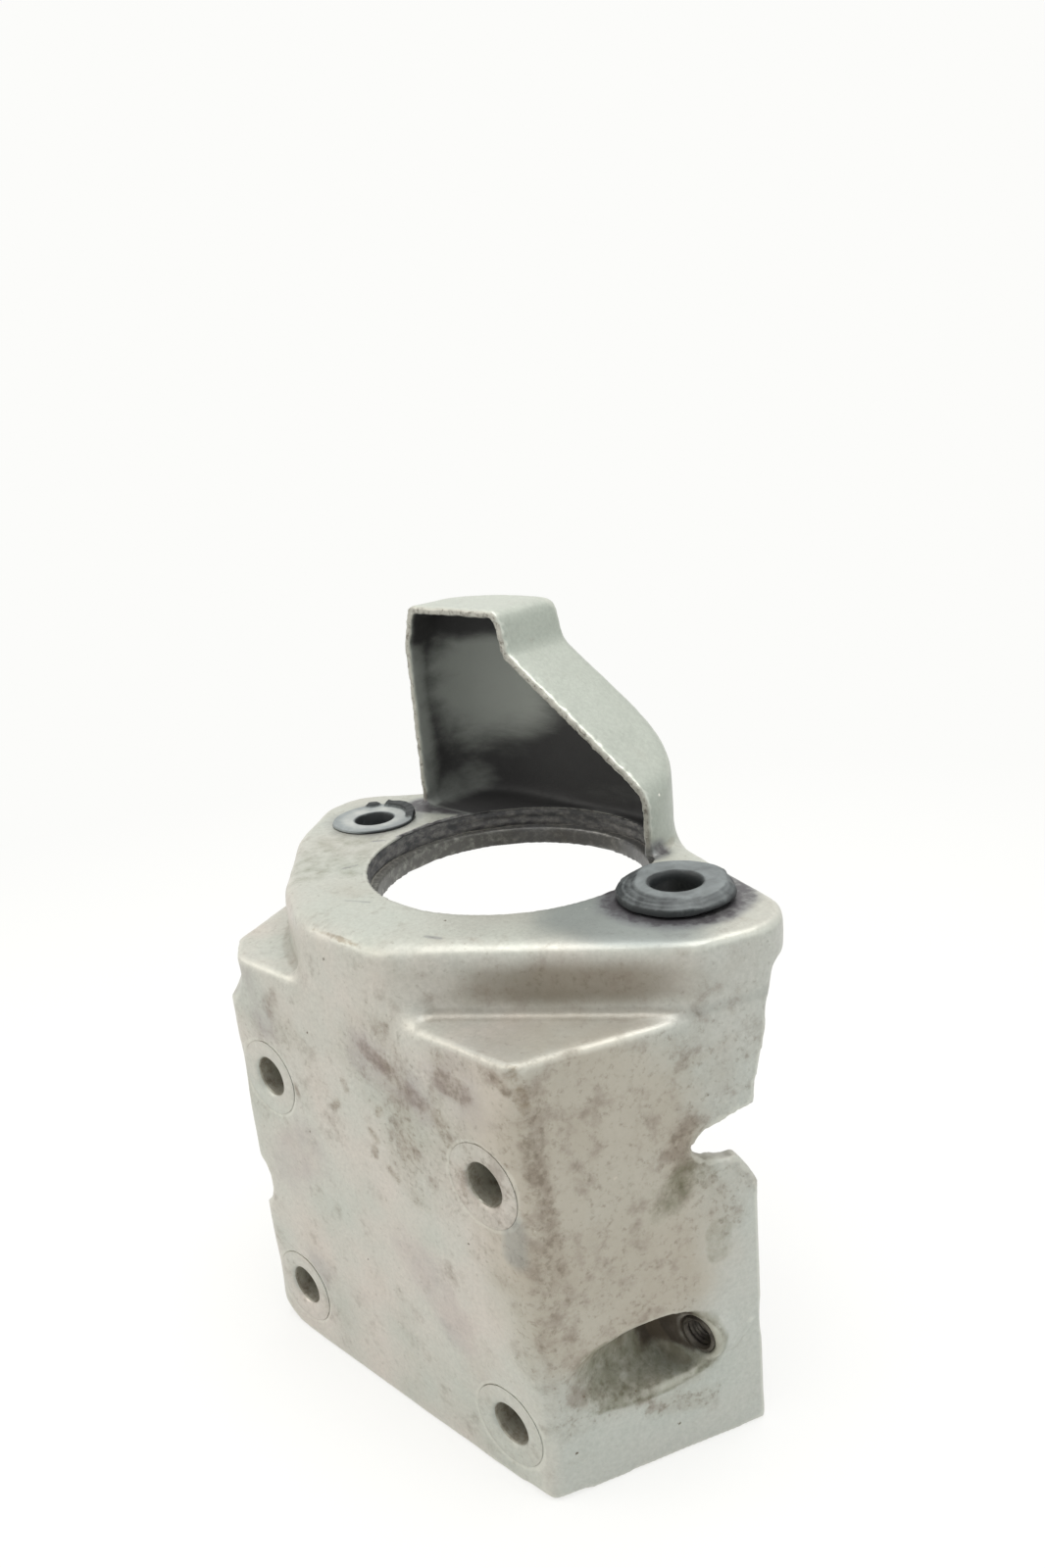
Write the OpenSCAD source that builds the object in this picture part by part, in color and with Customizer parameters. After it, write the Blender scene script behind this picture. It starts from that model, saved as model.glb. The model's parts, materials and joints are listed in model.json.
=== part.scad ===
// Open-backed cast housing with a hooded round opening, two rubber isolators
// beside it and steel bushes for its bolts. Millimetres.
// X runs along the bolting face, Y goes back from it, Z is up.
// The origin is the middle of the base, under the middle of the bolting face.

/* [Body] */
// Width of the flat bolting face
body_w = 83; // [78:1:110]
// Depth from the bolting face to the open back
body_d = 41.5; // [36:0.5:60]
// Height of the shoulder above the base
shoulder_z = 92; // [84:1:120]
// Outward flare of the left side, degrees
flare_l = 20; // [10:1:26]
// Outward flare of the right side, degrees
flare_r = 26; // [16:1:30]
// Wall thickness of the casting
wall = 3; // [2.5:0.1:4]
// Radius of the lower left edge
base_edge_r = 8.5; // [4:0.5:12]

/* [Deck] */
// Height of the deck's top above the shoulder
deck_rise = 13.3; // [11:0.1:20]
// Thickness of the deck's plate
deck_t = 3.5; // [3:0.1:5]
// Depth of the rim where the deck overhangs the open back
rim_h = 8.5; // [7.5:0.1:11]
// Distance from the bolting face to the middle of the opening
opening_y = 47; // [45:0.5:54]
// Diameter of the opening at the deck's top
opening_d = 60; // [50:0.5:61]
// Width of the ledge below the seal
ledge_w = 1.5; // [0.8:0.1:2.5]
// Thickness of the collar's wall below the opening
collar_t = 3; // [2:0.1:4]

/* [Bolting face] */
// Sideways distance between the bolt bushes
bolt_pitch_x = 62.5; // [56:0.5:66]
// Height between the two rows of bolt bushes
bolt_pitch_z = 53; // [44:0.5:58]
// Height of the lower row above the base
bolt_low_z = 12; // [11:0.5:16]
// Bore of the bolt bushes
bush_bore_d = 8.4; // [8:0.1:10]
// Wall of the bolt bushes
bush_wall = 1.8; // [1:0.1:2]
// Length of the bolt bushes
bush_len = 26; // [18:0.5:32]
// Diameter of the bush flanges
bush_flange_d = 16; // [14.5:0.1:18]
// Thickness of the bush flanges
bush_flange_t = 1; // [0.6:0.1:1.5]
// Depth of a bush flange below the bolting face
bush_sink = 0.4; // [0.2:0.1:1]
// Wall of the bosses around the bushes
boss_wall = 2.5; // [2:0.1:3.5]

/* [Isolators] */
// Distance from the middle of the opening to the right isolator
iso_right = 41.9; // [41.5:0.1:44]
// Distance from the middle of the opening to the left isolator
iso_left = 43.9; // [41.5:0.1:45]
// Flange diameter of the right isolator
iso_r_flange_d = 23; // [20:0.5:23]
// Bore of the right isolator
iso_r_bore_d = 10.4; // [8:0.2:12]
// Flange diameter of the left isolator, which has shrunk
iso_l_flange_d = 19.6; // [17:0.2:23]
// Bore of the left isolator
iso_l_bore_d = 8.6; // [7:0.2:10]
// Rubber between an isolator's bore and its waist
iso_waist_t = 2.6; // [2:0.1:3.5]
// Height of the right isolator's flange above the deck
iso_r_flange_t = 3; // [2:0.1:4]
// Height of the left isolator's flange above the deck
iso_l_flange_t = 1.8; // [1:0.1:4]
// Height of the isolator flanges below the deck's plate
iso_lower_t = 2.4; // [1.5:0.1:3]

/* [Hood] */
// Left outer side of the hood, from the middle of the opening
hood_left = 42.3; // [38:0.5:44]
// Right outer side of the hood, from the middle of the opening
hood_right = 26; // [24:0.5:30]
// Distance from the middle of the opening forward to the hood's rim plane
hood_front = 13.7; // [12:0.1:18]
// Depth of the hood from its rim to its back
hood_d = 19.6; // [18.5:0.1:26]
// Height of the hood above the deck
hood_h = 48; // [40:0.5:60]
// Wall thickness of the hood
hood_wall = 2; // [1.5:0.1:3]
// Radius of the hood's two rear corners
hood_corner_r = 17; // [10:0.5:18]

/* [Side screws] */
// Bore of the threaded inserts in the sides
insert_bore_d = 5; // [4:0.1:6]
// Outer diameter of the threaded inserts
insert_d = 7.4; // [6.5:0.1:8]
// Length of the threaded inserts
insert_len = 9; // [6:0.5:10]
// Diameter of the side bosses
side_boss_d = 11; // [10:0.1:13]
// Height of the right side screw above the base
side_r_z = 24; // [18:0.5:30]
// Height of the left side screw above the base
side_l_z = 36.4; // [32:0.5:44]
// Radius of the scoops that clear the screw heads
scoop_r = 7.3; // [6.5:0.1:8]

/* [Hidden] */

$fn = 96;
cast_colour = [0.74, 0.74, 0.70];
rubber_colour = [0.20, 0.22, 0.23];
steel_colour = [0.60, 0.58, 0.54];

face_y = -body_d / 2;
deck_z = shoulder_z + deck_rise;
opening_r = opening_d / 2;
bore_r = opening_r - ledge_w;
centre_y = face_y + opening_y;
hood_front_y = centre_y + hood_front;
hood_back_y = hood_front_y + hood_d;
hood_top_z = deck_z + hood_h;

// Seal groove below the opening's lip
seal_lip = 0.6;
seal_h = 3.9;
seal_t = 1.2;
seal_proud = 0.1;

// Bolt bushes
bush_r = bush_bore_d / 2 + bush_wall;
boss_r = bush_r + boss_wall;
seat_gap = 0.2;
bush_columns = [-bolt_pitch_x / 2, bolt_pitch_x / 2];
bush_rows = [bolt_low_z, bolt_low_z + bolt_pitch_z];

// Side screws: length and start of the bosses, and how far their axes and the
// right scoop's axis lie beyond the edges of the bolting face
side_boss_len = 12;
side_boss_y = face_y + body_d - side_boss_len;
side_out_r = 12.5;
side_out_l = 3.4;
scoop_out_r = 9;

// Dent in the corner of the bolting face
corner_dent_r = 9;
corner_dent_turn = 52;

// ---- Plan shapes ------------------------------------------------------------

function side_x(y, flare) = body_w / 2 + (y - face_y) * tan(flare);

// Unit vector from a to b
function unit(a, b) = (b - a) / norm(b - a);

// Points of the arc that rounds the corner b between a and c
function corner_arc(a, b, c, r, steps = 10) =
    let (u = unit(b, a), v = unit(b, c), half = acos(u * v) / 2,
        mid = unit([0, 0], u + v), centre = b + mid * r / sin(half),
        from = b + u * r / tan(half), to = b + v * r / tan(half),
        a0 = atan2(from[1] - centre[1], from[0] - centre[0]),
        turn = atan2(to[1] - centre[1], to[0] - centre[0]) - a0,
        sweep = turn > 180 ? turn - 360 : turn < -180 ? turn + 360 : turn)
    [for (i = [0:steps]) centre + r * [cos(a0 + sweep * i / steps), sin(a0 + sweep * i / steps)]];

// A closed outline whose corners are [x, y, radius]
function rounded(corners) =
    let (n = len(corners))
    [for (i = [0:n - 1])
        let (p = corners[(i + n - 1) % n], q = corners[i], s = corners[(i + 1) % n])
        each (q[2] > 0
            ? corner_arc([p[0], p[1]], [q[0], q[1]], [s[0], s[1]], q[2])
            : [[q[0], q[1]]])];

// The same outline moved in by d; corners run anticlockwise
function inset(corners, d) =
    let (n = len(corners))
    [for (i = [0:n - 1])
        let (p = corners[(i + n - 1) % n], q = corners[i], s = corners[(i + 1) % n],
            b = [q[0], q[1]], u = unit([p[0], p[1]], b), v = unit(b, [s[0], s[1]]),
            nu = [-u[1], u[0]], nv = [-v[1], v[0]],
            m = b + (nu + nv) * d / (1 + nu * nv))
        [m[0], m[1], max(q[2] - d, 0)]];

// Body, seen from above
body_corners = [
    [-body_w / 2, face_y, 2], [body_w / 2, face_y, 2.5],
    [side_x(face_y + body_d, flare_r), face_y + body_d, 0],
    [-side_x(face_y + body_d, flare_l), face_y + body_d, 0]];

// Deck, seen from above: a front flush with the bolting face, a straight right
// front, a right end flush with the side, a bay behind the hood and a left lobe
end_y = centre_y + 4.8;
bend_y = centre_y - 15;
deck_corners = [
    [-12, face_y, 18], [10, face_y, 5],
    [side_x(bend_y, flare_r), bend_y, 4],
    [side_x(end_y, flare_r), end_y, 11],
    [hood_right + 3, centre_y + 22, 5],
    [hood_right - hood_corner_r + 5.5, hood_back_y + 1, 6],
    [-hood_left + hood_corner_r - 3, hood_back_y + 1, 6],
    [-hood_left - 4, centre_y + 23, 6],
    [-side_x(centre_y + 7, flare_l) - 1.5, centre_y + 11, 9],
    [-side_x(centre_y + 2, flare_l) - 2.5, centre_y, 9],
    [-49.8, centre_y - 18.6, 18], [-30.5, centre_y - 36.6, 20]];

// ---- Housing ----------------------------------------------------------------

module above(z, h) translate([0, 0, z]) linear_extrude(height = h) children();

// Upright in the right or left side's plane: X is the way back, Y is up
module in_side(flare, right) {
    x = right ? body_w / 2 : -body_w / 2;
    turn = right ? 90 - flare : 90 + flare;
    translate([x, face_y, 0]) rotate([0, 0, turn]) rotate([90, 0, 0])
        translate([0, 0, right ? -wall : 0]) linear_extrude(height = wall) children();
}

// The side carries on behind the body as a gusset under the deck's end
module side_gusset(flare, right, reach_y) {
    back = body_d / cos(flare);
    reach = (reach_y - face_y) / cos(flare);
    intersection() {
        in_side(flare, right) polygon([
            [back - 4, shoulder_z - 16], [back, shoulder_z - 16],
            [reach - 8.6, shoulder_z - 3.6], [reach - 6.2, shoulder_z + 5],
            [reach, shoulder_z + 7], [reach, deck_z - deck_t / 2], [back - 4, deck_z - deck_t / 2]]);
        above(0, deck_z) union() {
            polygon(rounded(deck_corners));
            polygon(rounded(body_corners));
        }
    }
}

module body_shell() difference() {
    above(0, shoulder_z) polygon(rounded(body_corners));
    // Hollow, open at the back
    difference() {
        above(wall, shoulder_z - 2 * wall) polygon([
            [-body_w / 2 + wall, face_y + wall], [body_w / 2 - wall, face_y + wall],
            [side_x(face_y + body_d + 1, flare_r) - wall / cos(flare_r), face_y + body_d + 1],
            [-side_x(face_y + body_d + 1, flare_l) + wall / cos(flare_l), face_y + body_d + 1]]);
        // The lower left edge stays a full wall thick inside its rounding
        base_edge(base_edge_r + 1) base_edge_bar(base_edge_r - wall);
    }
    base_edge(base_edge_r) base_edge_bar(base_edge_r);
    // The deck's room opens into the body's
    above(shoulder_z - wall - 1, wall + 2) polygon(rounded(inset(deck_corners, wall)));
}

// A square strip along the lower left edge, with the children taken out of it
module base_edge(size) difference() {
    base_edge_place() translate([-1, -size, -1]) cube([size + 1, body_d * 1.5 + size, size + 1]);
    children();
}

module base_edge_bar(r) base_edge_place()
    translate([base_edge_r, -2 * base_edge_r, base_edge_r]) rotate([-90, 0, 0])
        cylinder(r = r, h = body_d * 1.5 + 3 * base_edge_r);

module base_edge_place() translate([-body_w / 2, face_y, 0]) rotate([0, 0, flare_l])
    children();

module deck_shell() difference() {
    union() {
        above(deck_z - rim_h, rim_h) polygon(rounded(deck_corners));
        intersection() {
            above(shoulder_z - wall, deck_rise) polygon(rounded(deck_corners));
            translate([-body_w, face_y, 0]) cube([2 * body_w, body_d, deck_z]);
        }
    }
    difference() {
        above(shoulder_z - wall - 1, deck_rise + wall - deck_t + 1) polygon(rounded(inset(deck_corners, wall)));
        translate([0, centre_y, deck_z - rim_h]) cylinder(r = opening_r + collar_t, h = rim_h);
    }
}

module opening_cuts() translate([0, centre_y, deck_z]) {
    translate([0, 0, -rim_h - 1]) cylinder(r = bore_r, h = rim_h + 2);
    translate([0, 0, -seal_lip]) cylinder(r = opening_r, h = seal_lip + 1);
    translate([0, 0, -seal_lip - seal_h]) cylinder(r = opening_r + seal_t, h = seal_h);
}

// Front outline of the hood, in X and Z
hood_corners = [
    [-hood_left, deck_z, 0], [hood_right, deck_z, 0],
    [hood_right, deck_z + 0.27 * hood_h, 7], [-9.5, deck_z + 0.81 * hood_h, 2.5],
    [-11.5, hood_top_z, 3.5], [-hood_left + 2.6, hood_top_z, 2.5],
    [-hood_left, deck_z + 0.8 * hood_h, 2]];

// The same outline, moved in by d at its sides and top. The
// foot moves down by d, so the hollow is open at the bottom.
function hood_outline(d) = [
    [-hood_left + d, deck_z - d, 0], [hood_right - d, deck_z - d, 0],
    each [for (i = [2:6]) inset(hood_corners, d)[i]]];

// Plan of the hood, moved in by d at its sides and back: square at the rim and
// round at the back. The rim moves out by d, so the hollow is open at the front.
function hood_plan(d) = [
    [-hood_left + d, hood_front_y - d, 0], [hood_right - d, hood_front_y - d, 0],
    [hood_right - d, hood_back_y - d, hood_corner_r - d],
    [-hood_left + d, hood_back_y - d, hood_corner_r - d]];

module hood_solid(d) intersection() {
    translate([0, hood_back_y + 1, 0]) rotate([90, 0, 0])
        linear_extrude(height = hood_d + d + 2) polygon(rounded(hood_outline(d)));
    above(deck_z - deck_t, hood_h + 2 * deck_t) polygon(rounded(hood_plan(d)));
}

module hood() color(cast_colour) difference() {
    hood_solid(0);
    hood_solid(hood_wall);
}

// Places children at each bolt bush, with Z pointing back
module at_bush(column, row)
    translate([bush_columns[column], face_y, bush_rows[row]]) rotate([-90, 0, 0]) children();

module bush_seat() {
    translate([0, 0, -1]) cylinder(d = bush_flange_d + 2 * seat_gap, h = 1 + bush_sink + bush_flange_t);
    cylinder(r = bush_r, h = bush_len + 2);
}

module side_boss_place(right) {
    x = body_w / 2 + (right ? side_out_r : side_out_l);
    translate([right ? x : -x, side_boss_y, right ? side_r_z : side_l_z]) rotate([-90, 0, 0]) children();
}

// The scoop runs forward from the boss until it leaves the side
module scoop(right) {
    x = body_w / 2 + (right ? scoop_out_r : side_out_l);
    translate([right ? x : -x, face_y - 1, right ? side_r_z + 0.5 : side_l_z]) rotate([-90, 0, 0])
        cylinder(r = scoop_r, h = body_d - side_boss_len + 1);
}

module scoop_wall(right) {
    x = body_w / 2 + (right ? scoop_out_r : side_out_l);
    intersection() {
        translate([right ? x : -x, face_y, right ? side_r_z + 0.5 : side_l_z]) rotate([-90, 0, 0])
            cylinder(r = scoop_r + wall, h = body_d - side_boss_len + wall);
        above(0, shoulder_z) polygon(rounded(body_corners));
    }
}

// A dent in the upper left corner of the bolting face
module corner_dent(r) translate([-body_w / 2 - 3, face_y - 3.8, shoulder_z - 4])
    rotate([0, 0, corner_dent_turn]) rotate([90, 0, 0]) cylinder(r = r, h = 40, center = true);

// A torn-looking cable gap in the right side's rear edge
module cable_gap() {
    back = body_d / cos(flare_r);
    mid = shoulder_z - 28;
    in_side_cut(flare_r) polygon([
        [back + 2, mid + 7.4], [back - 3, mid + 6.8], [back - 6, mid + 6], [back - 10.5, mid + 4.2],
        [back - 13, mid + 1.6], [back - 12.6, mid - 0.6], [back - 11, mid - 1.8], [back - 6, mid - 3],
        [back - 4, mid - 2.8], [back - 2, mid - 6], [back - 0.2, mid - 9.4], [back + 2, mid - 9.6]]);
}

module in_side_cut(flare) translate([body_w / 2, face_y, 0]) rotate([0, 0, 90 - flare])
    rotate([90, 0, 0]) translate([0, 0, -2 * wall]) linear_extrude(height = 4 * wall) children();

// The casting without its hood
module casting() difference() {
    union() {
        body_shell();
        deck_shell();
        side_gusset(flare_r, true, end_y);
        side_gusset(flare_l, false, centre_y + 5);
        for (c = [0, 1], r = [0, 1]) at_bush(c, r) cylinder(r = boss_r, h = bush_len);
        intersection() {
            corner_dent(corner_dent_r + wall);
            above(0, shoulder_z) polygon(rounded(body_corners));
        }
        for (right = [false, true]) {
            scoop_wall(right);
            side_boss_place(right) cylinder(d = side_boss_d, h = side_boss_len);
        }
    }
    opening_cuts();
    for (c = [0, 1], r = [0, 1]) at_bush(c, r) bush_seat();
    for (right = [false, true]) {
        scoop(right);
        side_boss_place(right) translate([0, 0, -1]) cylinder(d = insert_d, h = side_boss_len + 2);
    }
    cable_gap();
    corner_dent(corner_dent_r);
    isolator_hole(iso_right, iso_r_bore_d);
    isolator_hole(-iso_left, iso_l_bore_d);
}

module isolator_hole(x, bore_d) translate([x, centre_y, deck_z - deck_t - 1])
    cylinder(d = bore_d + 2 * iso_waist_t, h = deck_t + 2);

// One casting, held as five nodes so that each keeps its hollow open: three across
// the body, the deck above them, and the hood that stands on the deck
split_z = shoulder_z - 2 * wall;
split_x = bolt_pitch_x / 2 - boss_r - 1;
beyond = 2 * body_w;

// The casting between two widths and two heights
module casting_between(x, z) color(cast_colour) intersection() {
    casting();
    translate([x[0], face_y - body_d, z[0]]) cube([x[1] - x[0], 4 * body_d, z[1] - z[0]]);
}

module body_left() casting_between([-beyond, -split_x], [-1, split_z]);
module body_middle() casting_between([-split_x, split_x], [-1, split_z]);
module body_right() casting_between([split_x, beyond], [-1, split_z]);
module deck() casting_between([-beyond, beyond], [split_z, hood_top_z]);

// ---- Separate pieces --------------------------------------------------------

module opening_seal() color(rubber_colour)
    translate([0, centre_y, deck_z - seal_lip - seal_h]) difference() {
        cylinder(r = opening_r + seal_t, h = seal_h);
        translate([0, 0, -1]) cylinder(r = opening_r + seal_proud, h = seal_h + 2);
    }

module isolator(x, flange_d, bore_d, flange_t) color(rubber_colour)
    translate([x, centre_y, deck_z]) difference() {
        union() {
            cylinder(d = flange_d, h = flange_t);
            translate([0, 0, -deck_t - iso_lower_t / 2])
                cylinder(d = bore_d + 2 * iso_waist_t, h = deck_t + iso_lower_t / 2 + flange_t / 2);
            translate([0, 0, -deck_t - iso_lower_t]) cylinder(d = bore_d + 2 * iso_waist_t + 3, h = iso_lower_t);
        }
        translate([0, 0, -deck_t - iso_lower_t - 1])
            cylinder(d = bore_d, h = deck_t + iso_lower_t + flange_t + 2);
    }

module bush(column, row) color(steel_colour) at_bush(column, row) difference() {
    union() {
        translate([0, 0, bush_sink]) cylinder(d = bush_flange_d, h = bush_flange_t);
        translate([0, 0, bush_sink]) cylinder(r = bush_r, h = bush_len - bush_sink);
    }
    translate([0, 0, -1]) cylinder(d = bush_bore_d, h = bush_len + 2);
}

module side_insert(right) color(steel_colour) side_boss_place(right) difference() {
    translate([0, 0, 0.5]) cylinder(d = insert_d, h = insert_len);
    cylinder(d = insert_bore_d, h = insert_len + 1);
}

body_left();
body_middle();
body_right();
deck();
hood();
opening_seal();
isolator(iso_right, iso_r_flange_d, iso_r_bore_d, iso_r_flange_t);  // isolator_right
isolator(-iso_left, iso_l_flange_d, iso_l_bore_d, iso_l_flange_t);  // isolator_left
bush(0, 1);  // bush_upper_left
bush(1, 1);  // bush_upper_right
bush(0, 0);  // bush_lower_left
bush(1, 0);  // bush_lower_right
side_insert(true);  // side_insert_right
side_insert(false);  // side_insert_left
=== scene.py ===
# Hooded cast housing with rubber isolators, shown on a pale sweep.
# Metres, in the part's own frame: X along the bolting face, Y back from it, Z up.

import json
from math import cos, degrees, pi, radians, sin

import bmesh
import bpy
import numpy as np
from mathutils import Matrix, Vector, noise


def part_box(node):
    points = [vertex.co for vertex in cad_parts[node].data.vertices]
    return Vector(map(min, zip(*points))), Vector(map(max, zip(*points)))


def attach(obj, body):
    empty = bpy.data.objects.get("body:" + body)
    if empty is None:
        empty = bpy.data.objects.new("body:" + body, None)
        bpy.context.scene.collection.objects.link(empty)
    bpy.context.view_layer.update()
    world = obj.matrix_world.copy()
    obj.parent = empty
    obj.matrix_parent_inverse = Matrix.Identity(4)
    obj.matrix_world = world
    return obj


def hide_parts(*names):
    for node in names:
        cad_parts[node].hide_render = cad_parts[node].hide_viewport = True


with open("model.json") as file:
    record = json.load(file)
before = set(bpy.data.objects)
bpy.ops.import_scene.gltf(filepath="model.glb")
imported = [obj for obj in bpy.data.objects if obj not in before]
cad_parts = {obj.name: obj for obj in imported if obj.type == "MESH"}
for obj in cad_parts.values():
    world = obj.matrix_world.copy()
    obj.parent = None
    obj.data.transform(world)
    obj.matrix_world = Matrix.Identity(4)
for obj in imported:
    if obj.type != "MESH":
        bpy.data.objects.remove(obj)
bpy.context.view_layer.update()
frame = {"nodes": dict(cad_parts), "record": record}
MM = 0.001

# ---- View -------------------------------------------------------------------
# A wide lens close to the part, looking at the corner between the bolting face
# and the right side from a little above the deck, leaning slightly to one side.

LENS = 27.46
SENSOR = 36.0
EYE = Vector((165.07, -139.10, 194.11)) * MM
TURNED_LEFT, LOOKING_DOWN, LEANING = radians(44.08), radians(17.52), radians(-5.27)

ahead = Vector((-sin(TURNED_LEFT) * cos(LOOKING_DOWN), cos(TURNED_LEFT) * cos(LOOKING_DOWN),
                -sin(LOOKING_DOWN)))
level_right = Vector((cos(TURNED_LEFT), sin(TURNED_LEFT), 0))
level_up = level_right.cross(ahead)
right = level_right * cos(LEANING) + level_up * sin(LEANING)
up = level_up * cos(LEANING) - level_right * sin(LEANING)

camera = bpy.data.objects.new("camera", bpy.data.cameras.new("camera"))
camera.data.lens = LENS
camera.data.sensor_width = SENSOR
camera.data.sensor_fit = "AUTO"
camera.data.clip_start = 0.01
camera.matrix_world = Matrix.Translation(EYE) @ Matrix((right, up, -ahead)).transposed().to_4x4()
bpy.context.scene.collection.objects.link(camera)
bpy.context.scene.camera = camera
bpy.context.scene.view_settings.view_transform = "Standard"


# Linear colour from an sRGB hex value
def colour(code):
    parts = [int(code[i:i + 2], 16) / 255 for i in (0, 2, 4)]
    return [c / 12.92 if c <= 0.04045 else ((c + 0.055) / 1.055) ** 2.4 for c in parts] + [1.0]


# Adds a node with its settings, and links or sets its inputs
def add(tree, kind, inputs=None, **settings):
    node = tree.nodes.new(kind)
    for name, value in settings.items():
        setattr(node, name, value)
    for key, value in (inputs or {}).items():
        if isinstance(value, bpy.types.NodeSocket):
            tree.links.new(value, node.inputs[key])
        else:
            node.inputs[key].default_value = value
    return node


# ---- Floor and light --------------------------------------------------------
# White paper sweep that keeps the part's soft shadow. A wide soft lamp hangs
# overhead, with one at the front left, a weak one at the right, and even light
# all round.

PAPER = "FCFCFA"
PAPER_REACH = 6
# The paper keeps its shadow near the part, and is plain white further out
SHADOW_KEPT, SHADOW_GONE = 0.1, 0.45
# How white the paper shows near the part, and how bright the room is
SHADOWED, ROOM_LIGHT = 0.72, 0.57


# 1 for the rays that show the background, straight on or in gloss and glass
def background_rays(tree):
    rays = add(tree, "ShaderNodeLightPath").outputs
    seen = add(tree, "ShaderNodeMath", {0: rays["Is Camera Ray"], 1: rays["Is Glossy Ray"]}, operation="ADD")
    return add(tree, "ShaderNodeMath", {0: seen.outputs[0], 1: rays["Is Transmission Ray"]},
               operation="ADD", use_clamp=True).outputs[0]


floor_mesh = bpy.data.meshes.new("paper")
corners = [(across * PAPER_REACH, back * PAPER_REACH, 0)
           for across, back in ((-1, -1), (1, -1), (1, 1), (-1, 1))]
floor_mesh.from_pydata(corners, [], [(0, 1, 2, 3)])
floor = bpy.data.objects.new("paper", floor_mesh)
bpy.context.scene.collection.objects.link(floor)

paper = bpy.data.materials.new("white_paper")
paper.use_nodes = True
tree = paper.node_tree
tree.nodes.clear()
lit = add(tree, "ShaderNodeBsdfDiffuse", {"Color": colour(PAPER)})
glow = add(tree, "ShaderNodeEmission", {"Color": colour(PAPER), "Strength": 1.0})
spot = add(tree, "ShaderNodeTexCoord").outputs["Object"]
reach = add(tree, "ShaderNodeVectorMath", {0: spot}, operation="LENGTH").outputs["Value"]
fade = add(tree, "ShaderNodeMapRange", {"Value": reach, "From Min": SHADOW_KEPT, "From Max": SHADOW_GONE,
                                        "To Min": SHADOWED, "To Max": 1.0})
share = add(tree, "ShaderNodeMath", {0: background_rays(tree), 1: fade.outputs[0]}, operation="MULTIPLY")
mixed = add(tree, "ShaderNodeMixShader", {0: share.outputs[0], 1: lit.outputs[0], 2: glow.outputs[0]})
add(tree, "ShaderNodeOutputMaterial", {"Surface": mixed.outputs[0]})
floor_mesh.materials.append(paper)

world = bpy.data.worlds.new("room")
bpy.context.scene.world = world
world.use_nodes = True
tree = world.node_tree
tree.nodes.clear()
strength = add(tree, "ShaderNodeMapRange", {"Value": background_rays(tree), "To Min": ROOM_LIGHT,
                                            "To Max": 1.0})
sky = add(tree, "ShaderNodeBackground", {"Color": colour(PAPER), "Strength": strength.outputs[0]})
add(tree, "ShaderNodeOutputWorld", {"Surface": sky.outputs[0]})


# A wide lamp aimed at a point, with its sides in metres and its power in watts
def softbox(name, place, aim, size, power, tint):
    lamp = bpy.data.objects.new(name, bpy.data.lights.new(name, "AREA"))
    lamp.data.shape = "RECTANGLE"
    lamp.data.size, lamp.data.size_y = size
    lamp.data.energy = power
    lamp.data.color = colour(tint)[:3]
    lamp.location = place
    lamp.rotation_euler = (Vector(aim) - Vector(place)).to_track_quat("-Z", "Y").to_euler()
    bpy.context.scene.collection.objects.link(lamp)


softbox("key_lamp", (-0.58, -0.64, 0.68), (0, 0, 0.08), (0.7, 0.7), 3.6, "FFFBF4")
softbox("top_lamp", (0.1, 0.1, 1.1), (0, 0, 0.1), (0.8, 0.8), 8.4, "FFFFFF")
softbox("fill_lamp", (0.9, 0.25, 0.5), (0, 0, 0.08), (0.6, 0.6), 1.15, "F4FAFF")


# ---- Cast housing -----------------------------------------------------------
# Thin-walled aluminium die casting, one piece with its hood. The frame holds it as
# sharp-edged nodes. They are fused into one skin here, and the edges are rounded
# off as the die left them, more on the shoulder than at rims and holes.

SKIN_STEP = 0.55 * MM
ROUNDING = 2.1 * MM
DECK_ROUNDING = 4 * MM
CORNER_R = 5.5 * MM
DENT_DEPTH = 1.1 * MM
# A short ridge beside the scoop's end
RIDGE_HEIGHT = 0.35 * MM
# The skin round each bush: drawn in at the flange's edge, and level with its face
DRAWN_IN, FACE_LEVEL = 0.22 * MM, 0.38 * MM
# Each part, and the way it reaches into the part that it joins
CASTING = {"body_middle": (0, 0, 0), "body_left": (1, 0, 0), "body_right": (-1, 0, 0),
           "deck": (0, 0, -1), "hood": (0, 0, -1)}
OVERLAP = 1.2 * MM

left_low, left_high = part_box("body_left")
right_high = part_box("body_right")[1]
hood_low, hood_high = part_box("hood")
seal_low, seal_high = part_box("opening_seal")
middle = (seal_low + seal_high) / 2
face_y, back_y = left_low.y, left_high.y
deck_z = hood_low.z
shoulder_z = deck_z - 13.3 * MM
# The cable gap's middle below the shoulder, half the bolting face, and the sides' angle
gap_drop = 28 * MM
face_half = 41.5 * MM
side_flare = radians(26)


def centre(name):
    low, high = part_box(name)
    return (low + high) / 2


bolts = [centre(name) for name in
         ("bush_upper_left", "bush_upper_right", "bush_lower_left", "bush_lower_right")]
grommets = [centre("isolator_right"), centre("isolator_left")]
side_boss = centre("side_insert_right")

fused = bmesh.new()
for node, way in CASTING.items():
    part = bmesh.new()
    part.from_mesh(frame["nodes"][node].data)
    bmesh.ops.remove_doubles(part, verts=part.verts, dist=0.001 * MM)
    way = Vector(way)
    furthest = max(vert.co.dot(way) for vert in part.verts)
    for vert in part.verts:
        if vert.co.dot(way) > furthest - 0.01 * MM:
            vert.co += way * OVERLAP
    copy = bpy.data.meshes.new("part")
    part.to_mesh(copy)
    fused.from_mesh(copy)
    bpy.data.meshes.remove(copy)

housing = bpy.data.objects.new("cast_housing", bpy.data.meshes.new("cast_housing"))
fused.to_mesh(housing.data)
bpy.context.scene.collection.objects.link(housing)


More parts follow.
